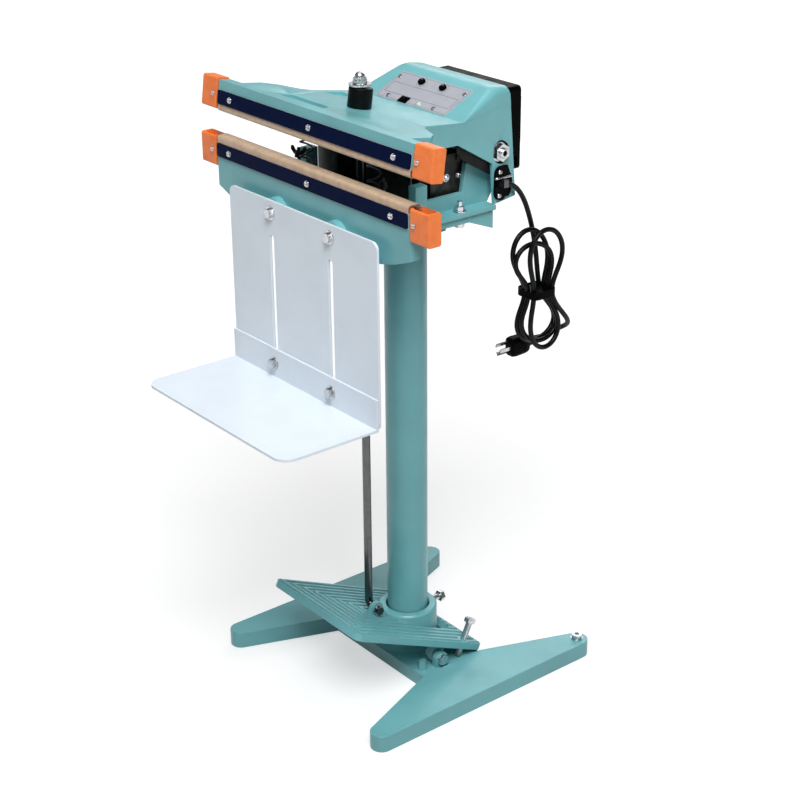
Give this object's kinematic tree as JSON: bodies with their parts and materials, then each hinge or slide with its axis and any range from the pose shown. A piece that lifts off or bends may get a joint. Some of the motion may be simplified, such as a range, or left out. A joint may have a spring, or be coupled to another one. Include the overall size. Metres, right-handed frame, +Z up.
{
  "type": "foot-operated impulse heat sealer",
  "caption": "Pedestal impulse heat sealer: hinged sealing jaws, timer panel and tray on a post, worked by a foot pedal through a pull rod.",
  "frame": {"origin": "on the floor, under the post's axis", "axes": "+X to the machine's right, +Y to the back, +Z up along the post"},
  "size_m": [0.416, 0.4488, 0.7583],
  "materials": {
    "teal_casting": "satin enamel",
    "orange_cap": "moulded satin",
    "navy_strip": "anodised dark",
    "tan_tape": "woven non-stick cloth",
    "pad_rubber": "matt",
    "ribbon_steel": "satin",
    "screw_steel": "bright",
    "black_metal": "matt black",
    "black_plastic": "satin",
    "black_rubber": "matt",
    "brass": "satin",
    "clear_sheet": "translucent, gloss",
    "panel_silver": "brushed",
    "board_green": "solder mask",
    "lamp_lens": "translucent",
    "signal_red": "satin"
  },
  "bodies": {
    "base": {"base_plate": "teal_casting", "foot_left": "teal_casting", "foot_right": "teal_casting", "foot_bolts": "screw_steel", "levelling_screw": "screw_steel", "socket_screw": "screw_steel", "post_tube": "teal_casting", "pedal_pivot_bolts": "screw_steel", "post_bracket": "teal_casting", "bracket_bolts": "screw_steel", "head_frame": "teal_casting", "lower_clamp_strip": "navy_strip", "lower_jaw_screws": "screw_steel", "lower_backing_pad": "pad_rubber", "lower_heating_ribbon": "ribbon_steel", "lower_ptfe_tape": "tan_tape", "lower_cap_left": "orange_cap", "lower_cap_right": "orange_cap", "lower_terminals": "brass", "transformer": "black_metal", "pivot_axle": "screw_steel", "pivot_nuts": "screw_steel", "return_springs": "screw_steel", "microswitch": "black_plastic", "tray_plate": "clear_sheet", "tray_bolts": "screw_steel"},
    "arm": {"arm_casting": "teal_casting", "upper_clamp_strip": "navy_strip", "upper_jaw_screws": "screw_steel", "upper_backing_pad": "pad_rubber", "upper_heating_ribbon": "ribbon_steel", "upper_ptfe_tape": "tan_tape", "upper_cap_left": "orange_cap", "upper_cap_right": "orange_cap", "upper_terminals": "brass", "panel_plate": "panel_silver", "panel_screws": "screw_steel", "timer_board": "board_green", "rocker_bezel": "black_plastic", "indicator_lamp": "lamp_lens", "rear_cover": "black_plastic", "rear_cover_screws": "screw_steel", "cable_clamp": "black_plastic", "clamp_saddle": "screw_steel", "pressure_sleeve": "black_rubber", "cord_lead": "black_rubber", "cord_hank": "black_rubber", "cord_tie": "black_plastic", "plug": "black_plastic", "plug_pins": "brass"},
    "dial_left": {"dial_heating": "black_plastic"},
    "dial_right": {"dial_cooling": "black_plastic"},
    "rocker": {"rocker_switch": "black_plastic"},
    "pedal": {"pedal": "teal_casting", "pedal_stop_screw": "screw_steel"},
    "rod": {"pull_rod": "screw_steel", "rod_nuts": "screw_steel"},
    "shelf": {"tray_shelf": "clear_sheet", "shelf_bolts": "screw_steel"},
    "plunger": {"microswitch_plunger": "signal_red"}
  },
  "joints": [
    {"name": "arm_swing", "type": "hinge", "parent": "base", "child": "arm", "pos_m": [0, 0.065, 0.664], "axis": [1, 0, 0], "range_deg": [0, 8], "stiffness_Nm_per_rad": 60, "springref_deg": -34.38, "deforming": ["return_springs", "pressure_sleeve"]},
    {"name": "pedal_press", "type": "hinge", "parent": "base", "child": "pedal", "pos_m": [0, -0.012, 0.028], "axis": [1, 0, 0], "range_deg": [0, 18.2]},
    {"name": "rod_pivot", "type": "hinge", "parent": "pedal", "child": "rod", "pos_m": [0, -0.062, 0.08872], "axis": [1, 0, 0], "range_deg": [-19.2, 0]},
    {"name": "shelf_slide", "type": "slide", "parent": "base", "child": "shelf", "axis": [0, 0, 1], "range_m": [0, 0.145]},
    {"name": "heating_dial", "type": "hinge", "parent": "arm", "child": "dial_left", "pos_m": [-0.017, 0.04016, 0.72575], "axis": [0, -0.4429, 0.8966], "range_deg": [-150, 150]},
    {"name": "cooling_dial", "type": "hinge", "parent": "arm", "child": "dial_right", "pos_m": [0.02, 0.04016, 0.72575], "axis": [0, -0.4429, 0.8966], "range_deg": [-150, 150]},
    {"name": "power_rocker", "type": "hinge", "parent": "arm", "child": "rocker", "pos_m": [-0.014, 0.01049, 0.71243], "axis": [0, 0.8966, 0.4429], "range_deg": [0, 12]},
    {"name": "plunger_press", "type": "slide", "parent": "base", "child": "plunger", "axis": [0, 0, -1], "range_m": [0, 0.0015], "stiffness_N_per_m": 300, "springref_m": -0.002}
  ],
  "couplings": [
    {"joint": "pedal_press", "follows": "arm_swing", "ratio": 2.24},
    {"joint": "rod_pivot", "follows": "arm_swing", "ratio": -2.35}
  ]
}
